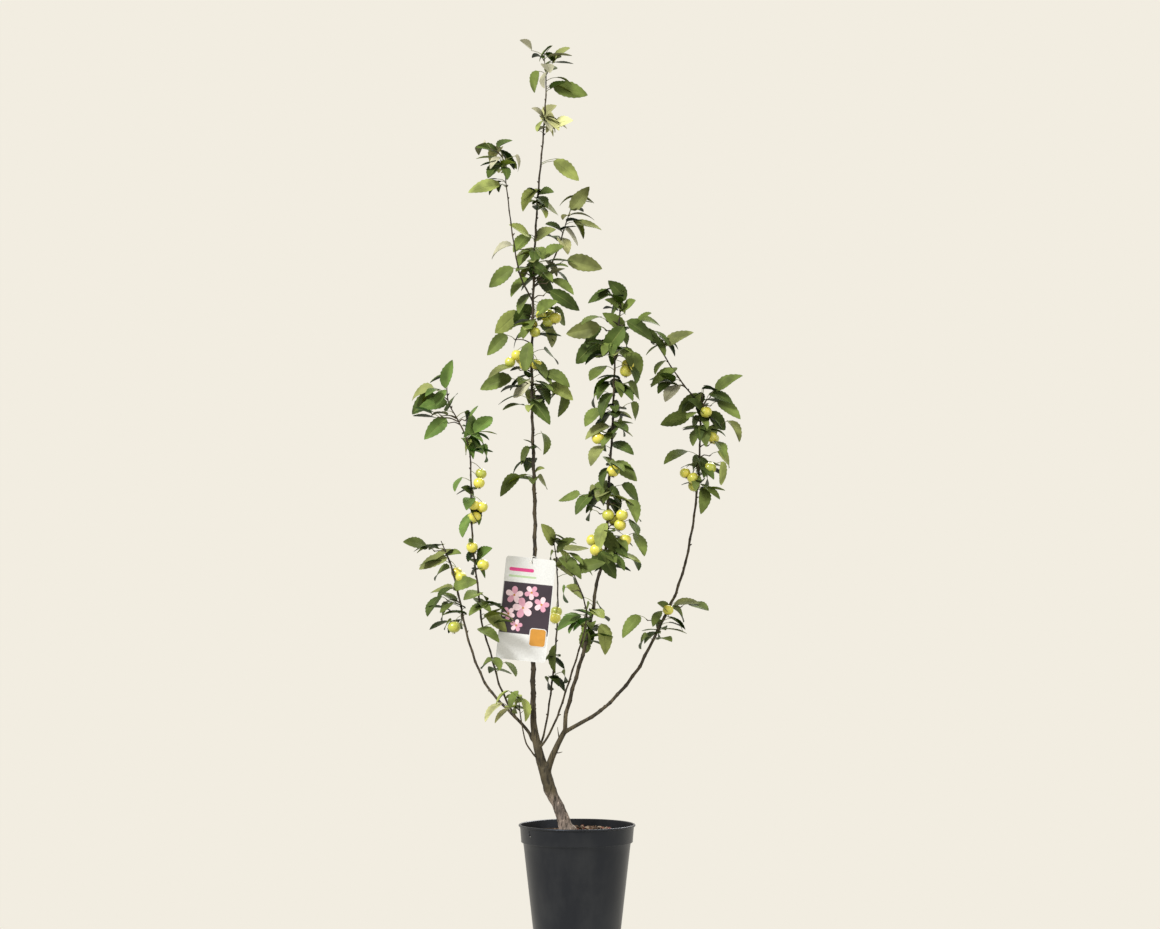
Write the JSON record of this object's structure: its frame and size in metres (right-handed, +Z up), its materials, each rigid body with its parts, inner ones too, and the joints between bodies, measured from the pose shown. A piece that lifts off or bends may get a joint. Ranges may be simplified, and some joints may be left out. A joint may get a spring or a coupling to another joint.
{
  "type": "potted golden hornet crabapple shrub",
  "caption": "Young multi-stemmed crabapple shrub with thin upright stems, loose leafy masses and small yellow fruit, standing in a deep black nursery pot.",
  "frame": {"origin": "centre of the flat underside of the pot", "axes": "+Z up along the plant, +X to the right and +Y away from the viewer, seen from the front"},
  "size_m": [0.6786, 0.405, 1.822],
  "materials": {
    "pot": "black moulded plastic, slightly glossy",
    "compost": "moist bark compost",
    "old_bark": "grey-brown flaking bark",
    "bark": "olive-brown young bark",
    "leaves": "mid green leaves with a soft sheen",
    "fruit": "yellow skin with a waxy gloss",
    "label": "white printed plastic card",
    "tie": "white plastic tie"
  },
  "bodies": {
    "root": {"base_sprout": "bark", "compost": "compost", "inner_back_stem": "bark", "inner_front_stem": "bark", "label": "label", "label_tie": "tie", "leader": "bark", "leaves_base_sprout_1": "leaves", "leaves_inner_back_stem_1": "leaves", "leaves_inner_back_stem_2": "leaves", "leaves_inner_front_stem_1": "leaves", "leaves_inner_front_stem_2": "leaves", "leaves_leader_1": "leaves", "leaves_leader_2": "leaves", "leaves_leader_3": "leaves", "leaves_leader_4": "leaves", "leaves_leader_5": "leaves", "leaves_leader_6": "leaves", "leaves_leader_7": "leaves", "leaves_leader_8": "leaves", "leaves_left_low_stem_1": "leaves", "leaves_left_low_stem_2": "leaves", "leaves_left_shoot_1": "leaves", "leaves_left_tall_stem_1": "leaves", "leaves_left_tall_stem_2": "leaves", "leaves_left_tall_stem_3": "leaves", "leaves_left_tall_stem_4": "leaves", "leaves_left_tall_stem_5": "leaves", "leaves_left_tall_stem_6": "leaves", "leaves_right_shoot_1": "leaves", "leaves_right_stem_top_1": "leaves", "leaves_right_stem_top_2": "leaves", "leaves_right_stem_top_3": "leaves", "leaves_right_tip_1": "leaves", "leaves_right_tip_2": "leaves", "leaves_second_leader_1": "leaves", "leaves_second_leader_2": "leaves", "leaves_second_leader_3": "leaves", "leaves_second_leader_4": "leaves", "leaves_second_leader_5": "leaves", "leaves_second_leader_6": "leaves", "leaves_second_leader_7": "leaves", "leaves_second_leader_8": "leaves", "left_low_stem": "bark", "left_shoot": "bark", "left_tall_stem": "bark", "pot": "pot", "right_arm": "bark", "right_shoot": "bark", "right_stem": "bark", "right_stem_top": "bark", "right_tip": "bark", "second_leader": "bark", "trunk": "old_bark"}
  },
  "joints": []
}
